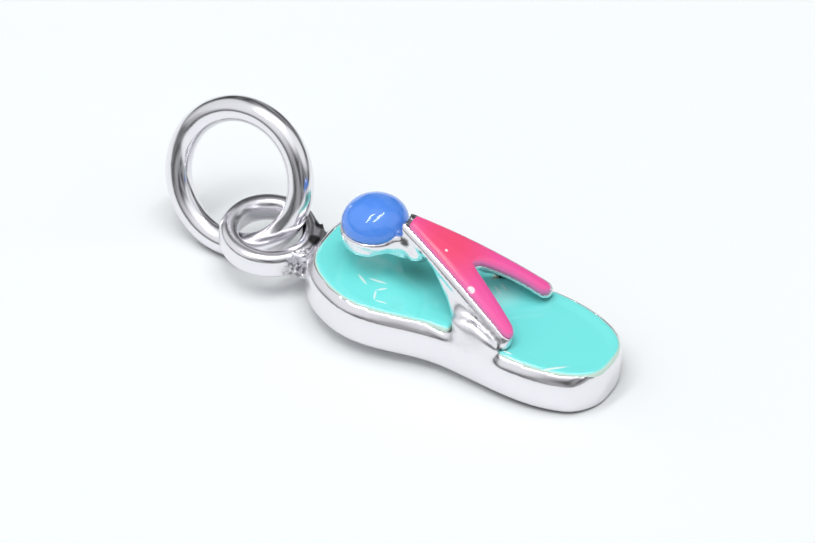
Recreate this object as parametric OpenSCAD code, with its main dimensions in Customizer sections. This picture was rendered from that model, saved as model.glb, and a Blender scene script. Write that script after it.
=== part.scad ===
// Flip-flop sandal pendant with a jump ring, lying on a flat surface.
// The sandal frame has X from the toe to the heel, Y across and Z up from the sole's underside.
// The whole pendant leans by rest_pitch, because the jump ring's wire lies under the eye and lifts the toe.

/* [Sole] */
// Length of the enamelled footbed
footbed_len = 12.6; // [11:0.1:14]
// Width that the footbed tends to at the toe, before its ends are rounded
toe_w = 6.3; // [5.4:0.05:6.4]
// Width of the footbed at the waist
waist_w = 4; // [3.4:0.02:4.2]
// Width that the footbed tends to at the heel, before its ends are rounded
heel_w = 4.7; // [4:0.01:5]
// Squareness of the sole's two ends
end_power = 3.2; // [3:0.1:5]
// Greatest distance of the sole's wall outside the footbed's edge
rim_w = 0.41; // [0.25:0.01:0.45]
// Thickness of the sole with its rim
sole_t = 1.82; // [1.5:0.01:2]
// Share of the rim's width that is left at the tip of the heel
heel_rim = 0.35; // [0.3:0.05:1]
// Depth of the footbed's recess below the rim
recess_d = 0.55; // [0.4:0.05:0.7]
// Depth of the enamel's surface below the top of the rim
enamel_drop = 0.05; // [0.02:0.01:0.15]

/* [Strap] */
// Height of the strap's top above the sole's underside, at the crotch of the two arms
strap_z = 3.65; // [3.4:0.05:3.9]
// Fall of the strap's top for each millimetre towards the heel
strap_fall = 0.384; // [0.3:0.002:0.45]
// Extra fall that grows with the square of the distance from the crotch
strap_curve = 0.022; // [0.015:0.001:0.03]
// Half the strap's width over both arms, at the crotch
strap_half = 1.17; // [1.05:0.01:1.3]
// Spread of each arm's outer edge for each millimetre towards the heel
strap_spread = 0.27; // [0.24:0.01:0.3]
// How much wider the strap's far side is than its near side
far_extra = 0.08; // [0:0.01:0.15]
// Width of the silver border outside the strap's enamel
border_w = 0.16; // [0.1:0.01:0.2]
// Share by which the opening between the arms widens to the far side, and narrows to the near side
crotch_shift = 0.3; // [0:0.05:0.4]
// Width of the blunt end of the opening between the arms, all on the far side
crotch_w = 0.25; // [0.1:0.05:0.3]
// Thickness of the strap's silver plate along the near arm's inner edge
plate_t = 0.5; // [0.4:0.05:0.6]
// Thickness of the strap's silver plate along the far arm's inner edge
far_plate_t = 0.25; // [0.2:0.05:0.4]
// Thickness of the enamel on the strap
strap_enamel_t = 0.25; // [0.15:0.01:0.3]
// Thickness of the wall that carries the near arm down to the sole
wall_t = 0.55; // [0.45:0.05:0.7]
// Thickness of the wall that carries the far arm down to the sole
far_wall_t = 0.4; // [0.35:0.05:0.5]
// Highest point of the open arch under the strap
arch_z = 3.6; // [3.3:0.05:3.65]

/* [Bead] */
// Distance of the bead from the middle of the footbed
bead_x = -4.22; // [-4.4:0.02:-4.1]
// Radius of the enamel bead
bead_r = 1.32; // [1.2:0.01:1.35]
// Height of the bead's dome above its widest line
bead_rise = 1; // [0.6:0.02:1.1]
// Height of the bead's widest line above the sole's underside
bead_z = 3.62; // [3.5:0.02:3.7]
// Lean of the bead towards the toe, in degrees
bead_tilt = 8; // [0:1:10]

/* [Eye] */
// Distance of the eye's centre from the middle of the footbed
eye_x = -8.8; // [-9:0.02:-8.7]
// Distance of the eye's centre from the pendant's middle line, on the near side
eye_y = -0.3; // [-0.4:0.02:0]
// Inner radius of the eye
eye_in_r = 1.25; // [1.2:0.01:1.3]
// Outer radius of the eye
eye_out_r = 2; // [1.95:0.01:2.05]
// Height of the eye
eye_h = 1.1; // [1:0.05:1.15]
// Height of the eye's top above the sole's underside
eye_top = 1.27; // [1.2:0.01:1.3]
// Radius of the eye's rounded edges
eye_edge_r = 0.33; // [0.2:0.01:0.35]
// Half the width of the neck between the eye and the toe
neck_half = 0.85; // [0.6:0.05:1]

/* [Jump ring] */
// Radius of the jump ring to the middle of its wire
ring_r = 2.755; // [2.7:0.005:2.8]
// Radius of the jump ring's wire
wire_r = 0.525; // [0.5:0.005:0.53]
// Angle of the jump ring's plane from the surface, in degrees
ring_lean = 64.2; // [63:0.2:66]
// Turn of the jump ring about the vertical, in degrees
ring_turn = 1; // [0:0.5:2]
// Jump ring's centre along X, from the middle of the footbed
ring_x = -10.69; // [-10.72:0.01:-10.66]
// Jump ring's centre across the pendant
ring_y = 0.66; // [0.6:0.01:0.7]

/* [Resting] */
// Angle by which the toe is lifted, in degrees
rest_pitch = 3.2; // [3:0.05:3.4]
// Distance from the middle of the footbed to the sole's edge that the pendant rests on
heel_rest_x = 6.3; // [6.2:0.05:6.4]

/* [Hidden] */
SILVER = "#d9dadd";
TURQUOISE = "#7ff0e6";
PINK = "#ff4f96";
BLUE = "#5390ff";

// Clearance between an enamel and the metal that it sits in
gap = 0.02;
// Points around the sole's outline
outline_n = 120;
// Stations of the footbed's width, as [distance from the middle, width]
WIDTHS = [[-4.6, toe_w], [0.3, waist_w], [4.8, heel_w]];
// The sole's wall from the underside to the footbed's floor, as [height, distance outside the footbed's edge]
WALL = [
    [0, rim_w - 0.18], [0.05, rim_w - 0.11], [0.15, rim_w - 0.07], [0.6, rim_w - 0.03], [1.1, rim_w],
    [1.3, rim_w - 0.01], [1.44, rim_w - 0.04], [1.53, rim_w - 0.09], [1.62, rim_w - 0.17],
    [sole_t - 0.09, 0.12], [sole_t - 0.02, 0.05], [sole_t, 0.02], [sole_t - 0.02, 0], [sole_t - recess_d, 0]
];
// Top of the sole inside its rim, where the strap's feet stand
footbed_floor = sole_t - recess_d;
// Step between the sections of a strap's arm, and the number of steps in front of the crotch
strap_step = 0.2;
parted_at = 14;
// Ends of the strap along X
strap_front = -2.96;
strap_back = 2.74;
// Where the arch under the strap is highest, and how far behind that it meets the sole
arch_x = -2.2;
arch_run = 2.8;
foot_x = arch_x + arch_run;
// Radius of the cup under the bead, and the height of its rim below the bead's widest line
cup_r = bead_r + 0.07;
cup_rim_drop = 0.17;
// Front and back end of the keel under the cup, as [x, height of its axis, radius]
KEEL = [[-4, 2.72, 0.5], [-2.2, 3.06, 0.42]];
// Blobs of solder on the near side of the neck, as [x, y, z, radius]
SOLDER = [[-7.2, -0.85, 0.62, 0.4], [-6.85, -1, 0.42, 0.36], [-6.6, -1.25, 0.68, 0.34]];
// The tip of the heel, and the pendant's extent along X, which centres it on the origin
left_x = ring_x - ring_r - wire_r;
widest_z = WALL[4][0];
heel_end = footbed_len / 2 + rim_w * heel_rim;
right_x = heel_rest_x + (heel_end - heel_rest_x) * cos(rest_pitch) + widest_z * sin(rest_pitch);
mid_x = (left_x + right_x) / 2;

// Smooth step from 0 to 1 as v goes from a to b
function ease(a, b, v) = (1 - cos(180 * min(1, max(0, (v - a) / (b - a))))) / 2;
function mix(a, b, f) = a + (b - a) * f;

// Width of the footbed at x, before its ends are rounded
function width_at(x) = x < WIDTHS[1][0]
    ? mix(WIDTHS[0][1], WIDTHS[1][1], ease(WIDTHS[0][0], WIDTHS[1][0], x))
    : mix(WIDTHS[1][1], WIDTHS[2][1], ease(WIDTHS[1][0], WIDTHS[2][0], x));

// Point of the footbed's edge at angle a from the tip of the toe
function edge_at(a) =
    let (s = sin(a), x = -sign(cos(a)) * footbed_len / 2 * sqrt(max(0, 1 - pow(abs(s), end_power))))
    [x, -width_at(x) / 2 * s];

// The footbed's outline, moved outwards by d, and by less around the tip of the heel
function outline(d) = [
    for (i = [0:outline_n - 1])
        let (
            a = 360 * i / outline_n, p = edge_at(a), t = edge_at(a + 1) - edge_at(a - 1),
            out = d > 0 ? d * mix(1, heel_rim, ease(5.3, footbed_len / 2, p[0])) : d
        )
        p + out * [t[1], -t[0]] / norm(t)
];

// Half the footbed's width at x, read off the rounded outline
function half_at(x) =
    width_at(x) / 2 * pow(max(0, 1 - pow(2 * x / footbed_len, 2)), 1 / end_power);

// Closed solid through rings of points that all have the same number of points
module loft(rings) {
    n = len(rings[0]);
    m = len(rings);
    points = [for (r = rings) for (p = r) p];
    sides = [for (j = [0:m - 2]) for (i = [0:n - 1]) let (k = (i + 1) % n)
        each [[j * n + i, (j + 1) * n + k, j * n + k], [j * n + i, (j + 1) * n + i, (j + 1) * n + k]]];
    polyhedron(points, concat([[for (i = [0:n - 1]) i]], sides, [[for (i = [n - 1:-1:0]) (m - 1) * n + i]]));
}

// Closed V through half sections at y >= 0, of which the near ones are mirrored. The halves are one up
// to station c, and apart behind it. Each half section runs from its inner bottom point round its outer
// side to its inner top point.
module vee(far_halves, near_halves, c) {
    n = len(far_halves[0]);
    m = len(far_halves);
    far = [for (h = far_halves) for (p = h) p];
    near = [for (h = near_halves) for (p = h) [p[0], -p[1], p[2]]];
    function id(s, j, i) = j * n + i + (s == 1 && (j > c || (i > 0 && i < n - 1)) ? m * n : 0);
    function turned(s, face) = s == 0 ? face : [for (i = [len(face) - 1:-1:0]) face[i]];
    sides = [for (s = [0, 1]) for (j = [0:m - 2]) for (i = [0:n - 1]) let (k = (i + 1) % n)
        if (i < n - 1 || j >= c) each [
            turned(s, [id(s, j, i), id(s, j + 1, k), id(s, j, k)]),
            turned(s, [id(s, j, i), id(s, j + 1, i), id(s, j + 1, k)])
        ]];
    ends = [for (s = [0, 1]) each [
        turned(s, [for (i = [0:n - 1]) id(s, 0, i)]),
        turned(s, [for (i = [n - 1:-1:0]) id(s, m - 1, i)])
    ]];
    polyhedron(concat(far, near), concat(sides, ends));
}

// A level ring of the sole's outline
function level(z, d) = [for (p = outline(d)) [p[0], p[1], z]];

// Lays the sandal down with its toe lifted, and centres the pendant on the origin
module lying() {
    translate([heel_rest_x - mid_x, 0, 0]) rotate([0, rest_pitch, 0])
        translate([-heel_rest_x, 0, 0]) children();
}

// The sole: a polished rim around the recess of the footbed
module sole() {
    loft([for (w = WALL) level(w[0], w[1])]);
}

// Shape of one arm at x: its top, its outer and inner edge, and the open underside
function top_z(x) = strap_z - strap_fall * x - strap_curve * x * x;
function outer_y(x, far) = strap_half + strap_spread * x - 0.005 * x * x + (far ? far_extra : 0);
function inner_y(x, far) =
    let (behind = 1 - max(0, x) / strap_back)
    max(0, 0.55 * x - 0.04 * x * x) * (1 + (far ? 1 : -1) * crotch_shift * behind)
    + (far ? crotch_w * behind * ease(0, 0.25, x) : 0);
function under_z(x) = let (t = (x - arch_x) / arch_run, front = max(0, (-2.45 - x) / 0.6))
    max(footbed_floor - 0.1, arch_z - (arch_z - footbed_floor) * t * t - 0.55 * front * front);

// How far the arm has become a foot at x, from 0 in the arch to 1 where it stands on the sole
function foot_at(x) = ease(-0.5, foot_x + 0.35, x);
// Outer and inner face of the arm's wall at its bottom. A foot covers the sole's rim.
function foot_outer(x, far) =
    mix(outer_y(x, far) + 0.04, half_at(x) + (far ? 0.22 : rim_w + 0.06), foot_at(x));
function foot_inner(x, far) =
    max(inner_y(x, far) + 0.15, foot_outer(x, far) - (far ? far_wall_t : wall_t));
// How far the two arms have parted at x, from 0 in front of the crotch to 1
function open_at(x) = ease(0, 0.35, x);
// How far the wall has risen off the sole at x, in front of the plate's tip
function lift_at(x) = ease(strap_back - 0.72, strap_back - 0.22, x);
// The arm's tip is rounded off over the last stations
function close_at(x) = x < strap_back - 0.3 ? 1 : sqrt(max(0.09, 1 - pow((x - strap_back + 0.3) / 0.3, 2)));

// Section of one silver arm across X: along its underside to the outer wall, up under the plate's
// bevelled edge and back over the top
function arm_section(x, far) =
    let (
        c = close_at(x), y1 = outer_y(x, far), y0 = inner_y(x, far), mid = (y1 + y0) / 2,
        yo = mid + (y1 - mid) * c, yi = mid + (y0 - mid) * c,
        zs = top_z(x) - strap_enamel_t, zu = under_z(x), f = foot_at(x), g = open_at(x),
        up = lift_at(x), low = max(0, 1 - 2 * up),
        zf = mix(mix(zu + 0.1, sole_t - 0.45, f), sole_t + 0.1, up),
        yf = mix(foot_outer(x, far), yo + 0.08, up),
        in_y = min(max(yi + 0.15, foot_inner(x, far)), yf - 0.12),
        edge_t = far ? far_plate_t : plate_t,
        zp = max(zu, mix(zs - edge_t, zu + 0.03, ease(-1.7, -2.4, x)), sole_t + 0.03),
        z_foot = max(zu, mix(sole_t, footbed_floor - 0.1, ease(foot_x - 0.35, foot_x, x))),
        z_in = mix(sole_t + 0.05, z_foot, low)
    )
    [
        [x, yi + 0.03 * g, zp], [x, min(in_y - 0.02, yi + 0.3), zp - 0.002],
        [x, in_y, max(zu, sole_t + 0.06 * up)], [x, in_y + 0.02, z_in - 0.01],
        [x, yf - mix(0.1, 0.6 * (yf - in_y), f), mix(sole_t + 0.04, zu - 0.01, low)], [x, yf, zf],
        [x, mix(yo + 0.08, mix(yo, yf, 0.86), f), mix(zs - (zs - zu) * 0.75, mix(zs, sole_t, 0.9), f)],
        [x, mix(yo + 0.1, yo + 0.16, f), mix(zs - (zs - zu) * 0.5, zs - 0.5, f)],
        [x, yo + 0.09, mix(zs - (zs - zu) * 0.4, zs - 0.34, f)],
        [x, yo + 0.16, zs - 0.22], [x, yo + 0.08, zs - 0.02], [x, yo - 0.06, zs + 0.13],
        [x, max(yo - border_w + 0.03, yi + 0.12), zs + 0.14], [x, max(yo - border_w + 0.01, yi + 0.1), zs],
        [x, yi + 0.07, zs],
        [x, yi, zs - 0.1 * g]
    ];

// Stations along a V whose front is at x0, whose arms part at x = 0 and whose rounded ends are at x1
function stations(x0, x1) = [
    for (i = [0:parted_at]) x0 * (1 - i / parted_at),
    for (x = [strap_step:strap_step:x1 - 0.32]) x,
    for (x = [0.22, 0.13, 0.05, 0]) x1 - x
];

// Silver of the strap: both arms, which part at the crotch
module strap() {
    xs = stations(strap_front, strap_back);
    vee([for (x = xs) arm_section(x, true)], [for (x = xs) arm_section(x, false)], parted_at);
}

// Section of the enamel on one arm across X, in the same order, with a slightly crowned top
function enamel_section(x, far) =
    let (
        c = close_at(x + 0.06), y1 = outer_y(x, far) - border_w, y0 = inner_y(x, far), mid = (y1 + y0) / 2,
        yo = mid + (y1 - mid) * c, yi = mid + (y0 - mid) * c, z = top_z(x), g = open_at(x)
    )
    [
        [x, yi + 0.02 * g, z - strap_enamel_t + gap], [x, yo - 0.02, z - strap_enamel_t + gap],
        [x, yo, z - 0.12], [x, yo - 0.05 * c, z - 0.04],
        [x, mix(yi, yo, 0.7), z + 0.005], [x, mix(yi, yo, 0.3), z + 0.02],
        [x, yi + 0.05 * c, z + mix(0.03, -0.04, g)], [x, yi, z + mix(0.032, -0.12, g)]
    ];

// A profile that is turned about the bead's axis, which leans towards the toe
module bead_turned(profile) {
    translate([bead_x, 0, bead_z - 0.6]) rotate([0, -bead_tilt, 0]) translate([0, 0, 0.6])
        rotate_extrude($fn = 48) polygon(profile);
}

// The sandal's body in one piece, stretched to its full length
module sandal() {
    resize([footbed_len / 2 + rim_w + heel_end, 0, 0]) union() {
        sole();
        strap();
    }
}

// Silver cup under the bead, and the keel that joins it to the strap's front end
module cup() {
    bowl = [for (a = [-90:15:-15]) [cup_r * cos(a), -cup_rim_drop + 0.82 * sin(a)]];
    bead_turned(concat(bowl, [
        [cup_r, -cup_rim_drop], [cup_r - 0.03, -cup_rim_drop + 0.05], [bead_r - 0.1, -cup_rim_drop + 0.03],
        [bead_r - 0.17, -cup_rim_drop - 0.1], [0, -cup_rim_drop - 0.1]
    ]));
    front = KEEL[0];
    back = KEEL[1];
    run = back - front;
    translate([front[0], 0, front[1]]) rotate([0, 90 - atan2(run[1], run[0]), 0])
        cylinder(r1 = front[2], r2 = back[2], h = norm([run[0], run[1]]), $fn = 48);
    translate([back[0], 0, back[1]]) sphere(r = back[2] + 0.05, $fn = 48);
}

// The fixed eye, which stands level with the sole
module eye() {
    translate([eye_x, eye_y, eye_top - eye_h]) rotate_extrude($fn = 96)
        translate([eye_in_r, 0]) {
            w = eye_out_r - eye_in_r;
            translate([eye_edge_r, 0]) square([w - 2 * eye_edge_r, eye_h]);
            translate([0, eye_edge_r]) square([w, eye_h - 2 * eye_edge_r]);
            for (x = [eye_edge_r, w - eye_edge_r], z = [eye_edge_r, eye_h - eye_edge_r])
                translate([x, z]) circle(r = eye_edge_r, $fn = 32);
        }
}

// Neck with hollow flanks between the eye and the toe, and the solder that has run along its near side
module neck() {
    x0 = eye_x + eye_in_r + 0.35;
    x1 = -footbed_len / 2 + 0.25;
    steps = [for (i = [0:10]) i / 10];
    flank = [for (t = steps) [mix(x0, x1, t), neck_half + 2.2 * pow(t - 0.42, 2) * (t > 0.42 ? 0.9 : 1)]];
    translate([0, eye_y / 2, eye_top - eye_h + 0.08]) linear_extrude(eye_h - 0.18)
        polygon(concat([for (p = flank) [p[0], -p[1]]], [for (i = [10:-1:0]) flank[i]]));
    for (b = SOLDER) translate([b[0], b[1], b[2]]) sphere(r = b[3], $fn = 24);
}

// The silver casting with its soldered eye: one solid
module casting() {
    color(SILVER) lying() union() {
        sandal();
        cup();
        eye();
        neck();
    }
}

// Clear space around one foot of the strap, in plan, at y >= 0
module foot_notch(far) {
    x0 = foot_x - 0.4;
    x1 = strap_back - 0.3 + gap;
    inner = [for (i = [0:16]) let (x = mix(x0, x1, i / 16)) [x, foot_inner(x, far) - 3 * gap]];
    linear_extrude(3) polygon(concat(inner, [[x1, 4], [x0, 4]]));
}

// Turquoise enamel of the footbed, which runs under the strap and around its feet
module footbed_enamel() {
    top = sole_t - enamel_drop;
    color(TURQUOISE) lying() difference() {
        loft([
            level(footbed_floor + gap, -gap), level(top - 0.05, -gap), level(top, -0.06),
            level(top - 0.03, -0.5)
        ]);
        foot_notch(true);
        mirror([0, 1, 0]) foot_notch(false);
    }
}

// Pink enamel on top of both arms
module strap_enamel() {
    xs = stations(strap_front + 0.12, strap_back - 0.06);
    color(PINK) lying()
        vee([for (x = xs) enamel_section(x, true)], [for (x = xs) enamel_section(x, false)], parted_at);
}

// Blue enamel bead, a low dome that sits in the cup
module bead_enamel() {
    dome = [for (a = [-15:15:75]) [bead_r * cos(a), (a < 0 ? 0.5 : bead_rise) * sin(a)]];
    color(BLUE) lying() bead_turned(concat(
        [[0, -cup_rim_drop - 0.1 + gap], [bead_r - 0.19, -cup_rim_drop - 0.1 + gap],
        [bead_r - 0.14, -cup_rim_drop + 0.05 + gap]], dome, [[0, bead_rise]]));
}

// Round-wire jump ring, linked through the eye and leaning back from the surface
module jump_ring() {
    color(SILVER) translate([ring_x - mid_x, ring_y, wire_r + ring_r * sin(ring_lean)])
        rotate([0, 0, -ring_turn]) rotate([ring_lean, 0, 0])
            rotate_extrude($fn = 96) translate([ring_r, 0]) circle(r = wire_r, $fn = 32);
}

casting();
footbed_enamel();
strap_enamel();
bead_enamel();
jump_ring();
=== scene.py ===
import math

import bpy
from mathutils import Matrix, Vector


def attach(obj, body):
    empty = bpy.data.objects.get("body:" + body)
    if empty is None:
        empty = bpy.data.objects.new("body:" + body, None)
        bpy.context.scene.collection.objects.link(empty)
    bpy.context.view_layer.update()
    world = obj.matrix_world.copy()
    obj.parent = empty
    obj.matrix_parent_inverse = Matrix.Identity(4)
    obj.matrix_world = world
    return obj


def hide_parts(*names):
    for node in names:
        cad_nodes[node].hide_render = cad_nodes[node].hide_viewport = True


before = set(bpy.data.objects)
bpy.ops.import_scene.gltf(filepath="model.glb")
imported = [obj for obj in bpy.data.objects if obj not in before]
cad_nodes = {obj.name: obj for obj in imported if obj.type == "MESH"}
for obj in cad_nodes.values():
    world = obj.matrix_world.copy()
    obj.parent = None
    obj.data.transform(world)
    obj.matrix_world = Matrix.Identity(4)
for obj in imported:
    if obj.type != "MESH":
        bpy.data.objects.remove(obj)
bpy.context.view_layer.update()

MM = 0.001
scene = bpy.context.scene


# ---------------------------------------------------------------- camera
# The photographer looks down on the pendant from the heel's near side, over a long lens.
# The pendant's middle is left of and above the middle of the picture. Lengths are in mm.
azimuth, elevation = math.radians(30.393), math.radians(42.513)
aim = Vector((3.7327, 0, 0))
distance, shift_right, shift_up = 250, -2.284, 2.537
focal_length, sensor_width = 283.8, 36

back = Vector((math.sin(azimuth) * math.cos(elevation),
               -math.cos(azimuth) * math.cos(elevation), math.sin(elevation)))
right = Vector((math.cos(azimuth), math.sin(azimuth), 0))
up = back.cross(right)
stand = aim + distance * back + shift_right * right + shift_up * up

camera = bpy.data.objects.new("camera", bpy.data.cameras.new("camera"))
scene.collection.objects.link(camera)
camera.data.sensor_width = sensor_width
camera.data.lens = focal_length
camera.data.clip_start, camera.data.clip_end = 0.01, 10
camera.matrix_world = (Matrix.Translation(stand * MM)
                       @ Matrix((right, up, back)).transposed().to_4x4())
scene.camera = camera


# ---------------------------------------------------------------- table and studio light
# A light box: a plain white sweep, two lamp strips under the ceiling, and white walls to the
# left and right of the camera. The camera's own side and the far wall stay dark low down.
# Lengths are in metres.
table_white, table_roughness, table_size, table_z = "#f8fbfb", 0.9, 1.2, -0.00002
box_white = "#fafcff"
# The dark sides aren't even: the scale of their cloudy pattern, its range, and the light in it.
clutter_scale, clutter_low, clutter_high, clutter_dark, clutter_bright = 2.6, 0.38, 0.66, 0.06, 0.4
# Each wall: the direction it lies in, the cosines at which it fades and is full, and its light.
walls = (
    ((0.086, -0.147, 1.0), 0.70, 0.95, 1.1),
    ((-0.431, -0.560, 0.707), 0.72, 0.93, 0.9),
    ((-0.739, -0.203, 0.643), 0.74, 0.94, 0.85),
    ((0.676, 0.279, 0.682), 0.80, 0.95, 0.95))
strip_size, strip_watts, strip_turn = (0.035, 0.3), 0.36, -math.radians(14)
strip_places = {"left_strip": (-0.094, -0.11, 0.4), "right_strip": (0.05, -0.016, 0.4)}


def linear(hex_colour):
    """An sRGB hex colour as the linear colour that the shaders take."""
    parts = [int(hex_colour[i:i + 2], 16) / 255 for i in (1, 3, 5)]
    return tuple(p / 12.92 if p <= 0.04045 else ((p + 0.055) / 1.055) ** 2.4
                 for p in parts) + (1,)


def node(tree, kind, settings=None, inputs=None, links=None):
    """One shader node with its settings, its input values and the sockets that feed it."""
    made = tree.nodes.new(kind)
    for name, value in (settings or {}).items():
        setattr(made, name, value)
    for name, value in (inputs or {}).items():
        made.inputs[name].default_value = value
    for name, source in (links or {}).items():
        tree.links.new(source, made.inputs[name])
    return made


def ramp(tree, value, none, full, most=1.0, least=0.0):
    """A mask that rises smoothly from least, where the value is none, to most, where it is full."""
    return node(tree, "ShaderNodeMapRange", {"interpolation_type": "SMOOTHSTEP"},
                {"From Min": none, "From Max": full, "To Min": least, "To Max": most},
                {"Value": value}).outputs["Result"]


def plain(name, colour, roughness, metallic=0.0):
    """A new material with its node tree and its Principled shader."""
    material = bpy.data.materials.new(name)
    material.use_nodes = True
    tree = material.node_tree
    shader = tree.nodes["Principled BSDF"]
    shader.inputs["Base Color"].default_value = linear(colour)
    shader.inputs["Roughness"].default_value = roughness
    shader.inputs["Metallic"].default_value = metallic
    return material, tree, shader


bpy.ops.object.select_all(action="DESELECT")
bpy.ops.mesh.primitive_plane_add(size=table_size, location=(0, 0, table_z))
table = bpy.context.object
table.name = "table"
table.data.materials.append(plain("white_sweep", table_white, table_roughness)[0])

scene.view_settings.view_transform = "Standard"
scene.world = bpy.data.worlds.new("light_box")
scene.world.use_nodes = True
box = scene.world.node_tree
looking = node(box, "ShaderNodeTexCoord").outputs["Generated"]
clutter = node(box, "ShaderNodeTexNoise", inputs={"Scale": clutter_scale, "Detail": 1.0},
               links={"Vector": looking}).outputs["Fac"]
glow = ramp(box, clutter, clutter_low, clutter_high, clutter_bright, clutter_dark)
for towards, faded, full, bright in walls:
    facing = node(box, "ShaderNodeVectorMath", {"operation": "DOT_PRODUCT"},
                  {1: towards}, {0: looking}).outputs["Value"]
    glow = node(box, "ShaderNodeMath", {"operation": "MAXIMUM"},
                links={0: glow, 1: ramp(box, facing, faded, full, bright)}).outputs["Value"]
box.nodes["Background"].inputs["Color"].default_value = linear(box_white)
box.links.new(glow, box.nodes["Background"].inputs["Strength"])

for name, place in strip_places.items():
    light = bpy.data.lights.new(name, "AREA")
    light.shape = "RECTANGLE"
    light.size, light.size_y = strip_size
    light.energy = strip_watts
    strip = bpy.data.objects.new(name, light)
    strip.location = place
    strip.rotation_euler = (0, 0, strip_turn)
    scene.collection.objects.link(strip)


# ---------------------------------------------------------------- silver casting
# The sandal with its strap, cup, keel and eye: sterling silver, cast in one, soldered at the
# neck and polished by hand, so every edge and inner corner is softly rounded.
# From here on, lengths and places are in mm, in the part's frame.
# The two dark colours after silver are laid partly as polish residue and partly as painted shade,
# in crevices, corners and gaps.
silver, residue_and_shade, speck, stain_and_shade = "#eeecf0", "#3c3c42", "#6c6c72", "#2e2e33"
casting_roughness, casting_wave, casting_wave_depth = 0.19, 1.8, 0.02
casting_voxel = 0.061
# How the sandal lies: its sole's pitch, and where its heel rests along X in the part's frame
# and in its own.
rest_pitch = math.radians(3.2)
heel_in_part, heel_in_sandal = 10.0327, 6.3
# Silver added to the CAD's shape. Cylinders: centre, radius, height, tilt and sides, for the
# cup's wall, which stands upright, and for the thick neck between the cup and the strap.
cylinders = (
    ((-0.35, 0, 3.76), 1.36, 0.68, -0.087, 96),
    ((0.95, 0, 3.87), 0.72, 1.05, 0, 64))
# Egg shapes: centre, half sizes and turn, for the neck's end under the strap, and for the near
# foot, which is filled out under the strap's edge.
eggs = (
    ((1.65, 0, 3.9), (0.75, 0.74, 0.55), (0, 0, 0)),
    ((5.2, -1.93, 2.36), (1.25, 0.38, 0.48), (0, 0.28, -0.19)))
# How far the strap's near side leans out at its lower edge
near_lean = 0.25
# What the buff couldn't reach: centre, radius, depth of the grain, how dirty it is, and its
# roughness, for the solder, the skin under the strap's edge, and the near foot.
grain_size, pit_low, pit_high = 0.16, 0.48, 0.62
rough_spots = (
    ((-2.9, -1.2, 1.4), 1.0, 0.08, 0.8, 0.19),
    ((5.1, -1.6, 2.7), 0.5, 0.02, 0.7, 0.35),
    ((4.9, -1.9, 2.5), 1.2, 0.006, 0.05, 0.35))
# Dark patches, partly polish residue and partly painted shade in corners and gaps: centre and
# radius, for the neck's corners, the ends of the rim at the near foot, the gap between the cup and
# the strap, and the strap's near side.
stains_and_shade = (
    ((-3.1, 0.0, 1.95), 0.35), ((-3.4, 0.9, 1.9), 0.35),
    ((4.15, -1.9, 2.15), 0.24), ((6.25, -1.95, 2.15), 0.22),
    ((1.33, -0.53, 4.32), 0.27), ((1.2, 0.35, 4.95), 0.3),
    ((2.1, -0.87, 4.3), 0.16), ((2.4, -0.95, 4.18), 0.14))


def lay(tree, under, mask, over):
    """A hex colour laid by a mask over a tone, or over another hex colour."""
    values, links = {7: linear(over)}, {0: mask}
    if isinstance(under, str):
        values[6] = linear(under)
    else:
        links[6] = under
    return node(tree, "ShaderNodeMix", {"data_type": "RGBA"}, values, links).outputs[2]


def away_from(tree, place, centre):
    """The distance from a point, in metres."""
    return node(tree, "ShaderNodeVectorMath", {"operation": "DISTANCE"},
                {1: [c * MM for c in centre]}, {0: place}).outputs["Value"]


def polished_silver(name, roughness, wave, wave_depth):
    """Polished sterling silver: a near-white mirror that bends its reflections in slow waves. It
    goes near black wherever little open air is round it, in crevices, between parts and where it
    meets the table: partly polish residue, partly painted shade."""
    material, tree, shader = plain(name, silver, roughness, 1.0)
    place = node(tree, "ShaderNodeTexCoord").outputs["Object"]
    open_air = node(tree, "ShaderNodeAmbientOcclusion", {"samples": 8},
                    {"Distance": 0.45 * MM}).outputs["AO"]
    # Painted shade and polish residue: the colour goes near black where a point is closed in by
    # other surfaces or by the table.
    tone = lay(tree, residue_and_shade, ramp(tree, open_air, 0.1, 0.5), silver)
    waves = node(tree, "ShaderNodeTexNoise", inputs={"Scale": 1 / (wave * MM), "Detail": 1.0},
                 links={"Vector": place}).outputs["Fac"]
    relief = node(tree, "ShaderNodeBump", inputs={"Strength": 1.0, "Distance": wave_depth * MM},
                  links={"Height": waves}).outputs["Normal"]
    tree.links.new(tone, shader.inputs["Base Color"])
    tree.links.new(relief, shader.inputs["Normal"])
    return material, tree, shader, place, tone, relief


def copy_of(name, cad_name):
    """A copy of a CAD node's mesh with its loose triangles merged, as a new active object."""
    bpy.ops.object.select_all(action="DESELECT")
    made = bpy.data.objects.new(name, cad_nodes[cad_name].data.copy())
    made.data.materials.clear()
    scene.collection.objects.link(made)
    bpy.context.view_layer.objects.active = made
    made.select_set(True)
    bpy.ops.object.mode_set(mode="EDIT")
    bpy.ops.mesh.select_all(action="SELECT")
    bpy.ops.mesh.remove_doubles(threshold=0.001 * MM)
    bpy.ops.object.mode_set(mode="OBJECT")
    return made


def remesh(piece, voxel):
    """Rebuilds a piece with even faces."""
    even = piece.modifiers.new("even_faces", "REMESH")
    even.mode = "VOXEL"
    even.voxel_size = voxel * MM
    bpy.ops.object.modifier_apply(modifier=even.name)
    bpy.ops.object.shade_smooth()


def weigh(piece, weight):
    """The name of a new vertex group, whose weights are worked out from the points in mm."""
    group = piece.vertex_groups.new(name="where")
    for vertex in piece.data.vertices:
        amount = weight(vertex.co / MM)
        if amount > 0:
            group.add([vertex.index], amount, "REPLACE")
    return group.name


def soften(piece, passes, weight=None):
    """Rounds a piece's edges, everywhere or by a weight."""
    rounded = piece.modifiers.new("rounded", "SMOOTH")
    rounded.factor = 0.5
    rounded.iterations = passes
    if weight:
        rounded.vertex_group = weigh(piece, weight)
    bpy.ops.object.modifier_apply(modifier=rounded.name)
    piece.vertex_groups.clear()


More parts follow.
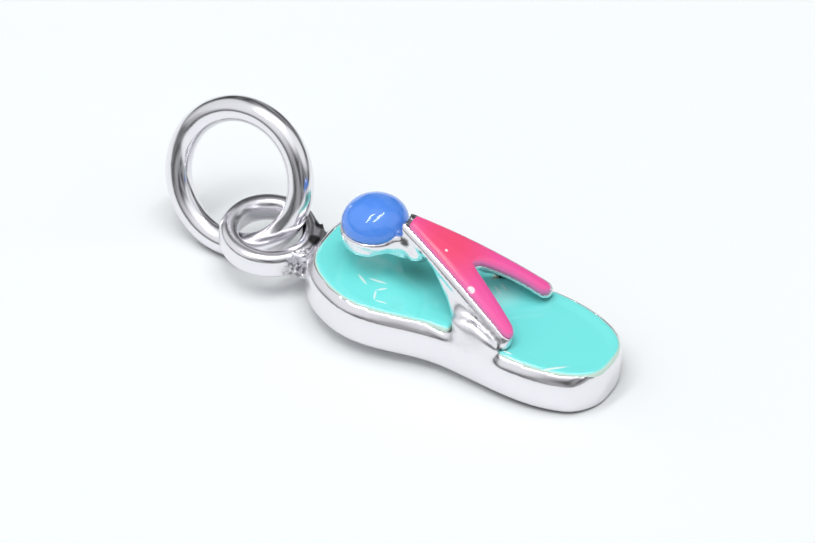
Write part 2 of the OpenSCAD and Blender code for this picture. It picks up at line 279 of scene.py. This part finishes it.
def in_sandal(p):
    """A point of the part in the sandal's own frame: towards the heel, across, and up."""
    x = p.x - heel_in_part
    return (x * math.cos(rest_pitch) - p.z * math.sin(rest_pitch) + heel_in_sandal, p.y,
            x * math.sin(rest_pitch) + p.z * math.cos(rest_pitch))


def fade(v, none, full):
    """Rises from 0, where v is none, to 1, where it is full."""
    return min(1.0, max(0.0, (v - none) / (full - none)))


def plate_top(x):
    """The height of the strap's top, which falls towards the heel."""
    return 3.4 - 0.384 * x - 0.022 * x * x


def on_foot(p):
    """The walls that carry the strap flow into the sole's wall."""
    x, y, z = in_sandal(p)
    top = plate_top(x)
    return (fade(abs(y), 1.0, 1.3) * fade(x, -0.6, 0.1) * fade(x, 2.75, 2.4)
            * fade(z, 0.5, 0.9) * fade(z, top - 0.3, top - 0.5))


def on_keel(p):
    """The keel flows into the cup and the strap."""
    x, y, z = in_sandal(p)
    top = plate_top(x)
    return (fade(x, -4.2, -3.7) * fade(x, -0.9, -1.4) * fade(abs(y), 1.3, 1.1)
            * fade(z, 2.0, 2.3) * fade(z, top - 0.1, top - 0.3))


def on_near_side(p):
    """The strap's near side wall, more the lower it is."""
    if p.y >= 0:
        return 0
    x, y, z = in_sandal(p)
    top = plate_top(x)
    return (fade(z, top - 0.3, top - 1.0) * fade(x, -2.6, -2.2) * fade(x, 1.2, 0.6)
            * fade(z, 1.95, 2.2) * fade(abs(y), 0.35, 0.6))


def on_rim(p):
    """The rim's crest and bevel, all round the footbed."""
    x, y, z = in_sandal(p)
    return (fade(z, 1.35, 1.5) * fade(z, 2.3, 2.1)
            * max(fade(abs(y), 1.2, 1.4), fade(abs(x), 4.4, 4.8)))


def on_heel_edge(p):
    """The edge under the rim's bevel round the heel, which is worn rounder than elsewhere."""
    x, y, z = in_sandal(p)
    return fade(x, 2.4, 3.2) * fade(z, 0.8, 1.2) * fade(z, 1.72, 1.6)


casting = copy_of("sandal_casting", "casting")
bpy.ops.object.select_all(action="DESELECT")
fillings = []
for centre, radius, height, tilt, sides in cylinders:
    bpy.ops.mesh.primitive_cylinder_add(
        vertices=sides, radius=radius * MM, depth=height * MM,
        location=Vector(centre) * MM, rotation=(0, tilt, 0))
    fillings.append(bpy.context.object)
for centre, half_sizes, turn in eggs:
    bpy.ops.mesh.primitive_uv_sphere_add(
        segments=48, ring_count=24, radius=MM,
        location=Vector(centre) * MM, rotation=turn, scale=half_sizes)
    fillings.append(bpy.context.object)
for filling in fillings:
    filling.select_set(True)
casting.select_set(True)
bpy.context.view_layer.objects.active = casting
bpy.ops.object.join()
remesh(casting, casting_voxel)

leaning = casting.modifiers.new("leaning", "DISPLACE")
leaning.direction = "Y"
leaning.mid_level = 0
leaning.strength = -near_lean * MM
leaning.vertex_group = weigh(casting, on_near_side)
bpy.ops.object.modifier_apply(modifier=leaning.name)
casting.vertex_groups.clear()

for passes, where in (
        (212, on_foot), (98, on_keel), (33, on_heel_edge), (10, on_rim), (8, None)):
    soften(casting, passes, where)

cast_silver, tree, shader, place, tone, relief = polished_silver(
    "polished_sterling_silver", casting_roughness, casting_wave, casting_wave_depth)
grain = node(tree, "ShaderNodeTexNoise",
             inputs={"Scale": 1 / (grain_size * MM), "Detail": 3.0},
             links={"Vector": place}).outputs["Fac"]
pits = node(tree, "ShaderNodeMapRange", inputs={"From Min": pit_low, "From Max": pit_high},
            links={"Value": grain}).outputs["Result"]
gloss = None
for centre, radius, depth, dirt, satin in rough_spots:
    gritty = ramp(tree, away_from(tree, place, centre), radius * MM, 0.6 * radius * MM)
    relief = node(tree, "ShaderNodeBump", inputs={"Distance": depth * MM},
                  links={"Strength": gritty, "Height": grain, "Normal": relief}).outputs["Normal"]
    specks = node(tree, "ShaderNodeMath", {"operation": "MULTIPLY"},
                  {1: dirt}, {0: pits}).outputs["Value"]
    dirty = node(tree, "ShaderNodeMath", {"operation": "MULTIPLY"},
                 links={0: gritty, 1: specks}).outputs["Value"]
    tone = lay(tree, tone, dirty, speck)
    dull = node(tree, "ShaderNodeMapRange",
                inputs={"To Min": casting_roughness, "To Max": satin}, links={"Value": gritty})
    if gloss:
        tree.links.new(gloss, dull.inputs["To Min"])
    gloss = dull.outputs["Result"]
# Each patch lays the dark colour, partly polish residue and partly painted shade.
for centre, radius in stains_and_shade:
    ragged = node(tree, "ShaderNodeMath", {"operation": "MULTIPLY_ADD"},
                  {1: 0.5 * radius * MM},
                  {0: grain, 2: away_from(tree, place, centre)}).outputs["Value"]
    patch = ramp(tree, ragged, 1.25 * radius * MM, 0.75 * radius * MM, most=0.9)
    tone = lay(tree, tone, patch, stain_and_shade)
tree.links.new(gloss, shader.inputs["Roughness"])
tree.links.new(tone, shader.inputs["Base Color"])
tree.links.new(relief, shader.inputs["Normal"])
casting.data.materials.append(cast_silver)
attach(casting, "root")
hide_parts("casting")


# ---------------------------------------------------------------- turquoise footbed
# One pool of turquoise enamel, fired into the recess from toe to heel. It wets the rim, so its edge
# is thin and pale, and its surface has kept a few small ripples from the kiln, each with a painted
# highlight. It has painted shade under the strap and painted light under the bead and between the
# arms.
turquoise, pool_edge, ripple_highlight = "#7ef1ec", "#d6efe0", "#e2fffb"
footbed_voxel, footbed_passes, footbed_spread = 0.04, 16, 0.09
# Painted shade and light on the pool: centre, reach and colour of each. Painted shade darkens it
# under the strap; painted light makes it pale under the bead and between the arms.
painted_shade_and_light = (
    ((1.4, 0.1, 2.26), 1.4, "#62bcb6"),
    ((-0.3, -0.4, 2.34), 1.0, "#a2f7f1"),
    ((4.7, 0.8, 2.07), 1.3, "#b4f7f3"))
# The ripples: centre, half length, half width, and turn in degrees. They stand up a little, and
# each carries a painted highlight, a pale mark along its length.
ripple_height = 0.012
highlight_ripples = (
    ((-0.09, -1.44, 2.34), 0.37, 0.07, -29), ((0.46, -1.19, 2.31), 0.44, 0.07, 10),
    ((0.75, -1.92, 2.29), 0.30, 0.06, -67), ((0.81, -1.5, 2.29), 0.26, 0.06, 46),
    ((1.14, -2.12, 2.27), 0.30, 0.05, 11), ((4.6, 0.92, 2.07), 0.33, 0.06, -36),
    ((4.72, 1.2, 2.07), 0.26, 0.06, -32), ((8.55, -1.62, 1.85), 0.62, 0.07, 44),
    ((8.85, -1.8, 1.84), 0.26, 0.05, 47), ((6.59, -1.86, 1.97), 0.27, 0.06, 2))


def enamel(name, colour, roughness=0.07, coat=0.4):
    """Fused, fire-polished enamel: a glass with a mirror gloss over an even, opaque colour."""
    material, tree, shader = plain(name, colour, roughness)
    shader.inputs["IOR"].default_value = 1.52
    shader.inputs["Coat Weight"].default_value = coat
    shader.inputs["Coat Roughness"].default_value = 0.02
    return material, tree, shader, node(tree, "ShaderNodeTexCoord")


def thin_edge(tree, normal, tone, colour, level_z, edge_z):
    """A tone that pales where the glass gets thin, at edges that slope down from the level face."""
    slope = node(tree, "ShaderNodeSeparateXYZ", links={0: normal}).outputs["Z"]
    return lay(tree, tone, ramp(tree, slope, level_z, edge_z), colour)


def swell(piece, spread):
    """Lets the enamel spread by a little, so that it wets the metal round it."""
    grown = piece.modifiers.new("wetting", "DISPLACE")
    grown.mid_level = 0
    grown.strength = spread * MM
    bpy.ops.object.modifier_apply(modifier=grown.name)


def marks(tree, place, highlight_strokes):
    """A mask of short strokes on a level face, each with its centre, half its length, half its
    width, and its turn in degrees."""
    mask = None
    for centre, half_length, half_width, turn in highlight_strokes:
        along = node(tree, "ShaderNodeMapping", {"vector_type": "TEXTURE"}, {
            "Location": [c * MM for c in centre], "Rotation": (0, 0, math.radians(turn)),
            "Scale": (half_length * MM, half_width * MM, 1)}, {"Vector": place})
        reach = node(tree, "ShaderNodeVectorMath", {"operation": "LENGTH"},
                     links={0: along.outputs["Vector"]}).outputs["Value"]
        stroke = ramp(tree, reach, 1.1, 0.45)
        if mask:
            stroke = node(tree, "ShaderNodeMath", {"operation": "MAXIMUM"},
                          links={0: mask, 1: stroke}).outputs["Value"]
        mask = stroke
    return mask


pool_enamel, tree, shader, across = enamel("turquoise_enamel", turquoise)
place = across.outputs["Object"]
tone = turquoise
# Lays the painted shade under the strap and the painted light under the bead and between the arms.
for centre, reach, colour in painted_shade_and_light:
    tone = lay(tree, tone, ramp(tree, away_from(tree, place, centre), reach * MM, 0.0), colour)
ripple_highlight_mask = marks(tree, place, highlight_ripples)
# Painted highlights along the ripples.
tone = lay(tree, tone, ripple_highlight_mask, ripple_highlight)
tone = thin_edge(tree, across.outputs["Normal"], tone, pool_edge, 0.97, 0.6)
relief = node(tree, "ShaderNodeBump", inputs={"Strength": 1.0, "Distance": ripple_height * MM},
              links={"Height": ripple_highlight_mask}).outputs["Normal"]
tree.links.new(tone, shader.inputs["Base Color"])
tree.links.new(relief, shader.inputs["Coat Normal"])
tree.links.new(relief, shader.inputs["Normal"])

footbed = copy_of("footbed_enamel_pool", "footbed_enamel")
remesh(footbed, footbed_voxel)
soften(footbed, footbed_passes)
swell(footbed, footbed_spread)
footbed.data.materials.append(pool_enamel)
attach(footbed, "root")
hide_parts("footbed_enamel")


# ---------------------------------------------------------------- pink strap
# Pink enamel on the strap's two arms, domed by its surface tension, with rounded edges and a
# slightly silky gloss. It was laid on thickest at the front, where it shows nearly coral.
pink, coral, strap_edge, chip_highlight, highlight_pink = (
    "#fd5cab", "#ff527c", "#f480bd", "#fdeef4", "#fdb6cf")
strap_voxel, strap_passes, strap_spread = 0.04, 8, 0.05
# It stops short of the strap's front end, where the silver border shows.
front_x = 1.4
coral_centre, coral_none, coral_full = (2.9, 0.1, 4.45), 2.6, 0.2
# Two small chips in the enamel, each with a painted highlight: the centre and the radius of each.
chips = (((4.55, -1.1, 3.72), 0.15), ((2.99, -0.32, 4.42), 0.075))
# Two painted highlights as short strokes: centre, half length, half width, and turn in degrees.
highlight_strokes = (((1.72, -0.47, 4.89), 0.21, 0.05, -30), ((2.75, -0.74, 4.51), 0.19, 0.05, -18))

strap_enamel, tree, shader, across = enamel("pink_enamel", pink, roughness=0.24, coat=0.0)
place = across.outputs["Object"]
thick = ramp(tree, away_from(tree, place, coral_centre), coral_none * MM, coral_full * MM)
tone = lay(tree, pink, thick, coral)
for centre, radius in chips:
    chip = ramp(tree, away_from(tree, place, centre), 1.25 * radius * MM, 0.8 * radius * MM)
    # Painted highlight on each chip.
    tone = lay(tree, tone, chip, chip_highlight)
# Painted highlights: two short pale strokes.
tone = lay(tree, tone, marks(tree, place, highlight_strokes), highlight_pink)
tone = thin_edge(tree, across.outputs["Normal"], tone, strap_edge, 0.9, 0.35)
tree.links.new(tone, shader.inputs["Base Color"])

strap = copy_of("strap_enamel_band", "strap_enamel")
bpy.ops.object.mode_set(mode="EDIT")
bpy.ops.mesh.select_all(action="SELECT")
bpy.ops.mesh.bisect(plane_co=Vector((front_x, 0, 0)) * MM, plane_no=(1, 0, 0),
                    use_fill=True, clear_inner=True)
bpy.ops.object.mode_set(mode="OBJECT")
remesh(strap, strap_voxel)
soften(strap, strap_passes)
swell(strap, strap_spread)
strap.data.materials.append(strap_enamel)
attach(strap, "root")
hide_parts("strap_enamel")


# ---------------------------------------------------------------- blue bead
# A drop of blue enamel, one even colour with a mirror gloss. It sits in the cup as a low dome,
# as its surface tension drew it up in the kiln.
blue = "#5694f6"
bead_voxel, bead_passes, bead_spread = 0.04, 50, 0.02

bead = copy_of("bead_enamel_drop", "bead_enamel")
remesh(bead, bead_voxel)
soften(bead, bead_passes)
swell(bead, bead_spread)
bead.data.materials.append(enamel("blue_enamel", blue)[0])
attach(bead, "root")
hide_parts("bead_enamel")


# ---------------------------------------------------------------- jump ring
# Round sterling silver wire, drawn, bent through the eye, closed to a ring and polished to the
# same bright mirror as the casting.
ring_centre, ring_radius, wire_radius = (-6.9573, 0.66, 3.0054), 2.752, 0.524
ring_lean, ring_turn = math.radians(64.2), -math.radians(1)
wire_roughness, wire_wave, wire_wave_depth = 0.16, 1.6, 0.03

bpy.ops.object.select_all(action="DESELECT")
bpy.ops.mesh.primitive_torus_add(
    major_radius=ring_radius * MM, minor_radius=wire_radius * MM,
    major_segments=192, minor_segments=48)
ring = bpy.context.object
ring.name = "jump_ring_wire"
ring.matrix_world = (Matrix.Translation(Vector(ring_centre) * MM)
                     @ Matrix.Rotation(ring_turn, 4, "Z") @ Matrix.Rotation(ring_lean, 4, "X"))
bpy.ops.object.transform_apply(location=True, rotation=True, scale=True)
bpy.ops.object.shade_smooth()
ring.data.materials.append(polished_silver(
    "drawn_sterling_silver", wire_roughness, wire_wave, wire_wave_depth)[0])
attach(ring, "root")
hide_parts("jump_ring")
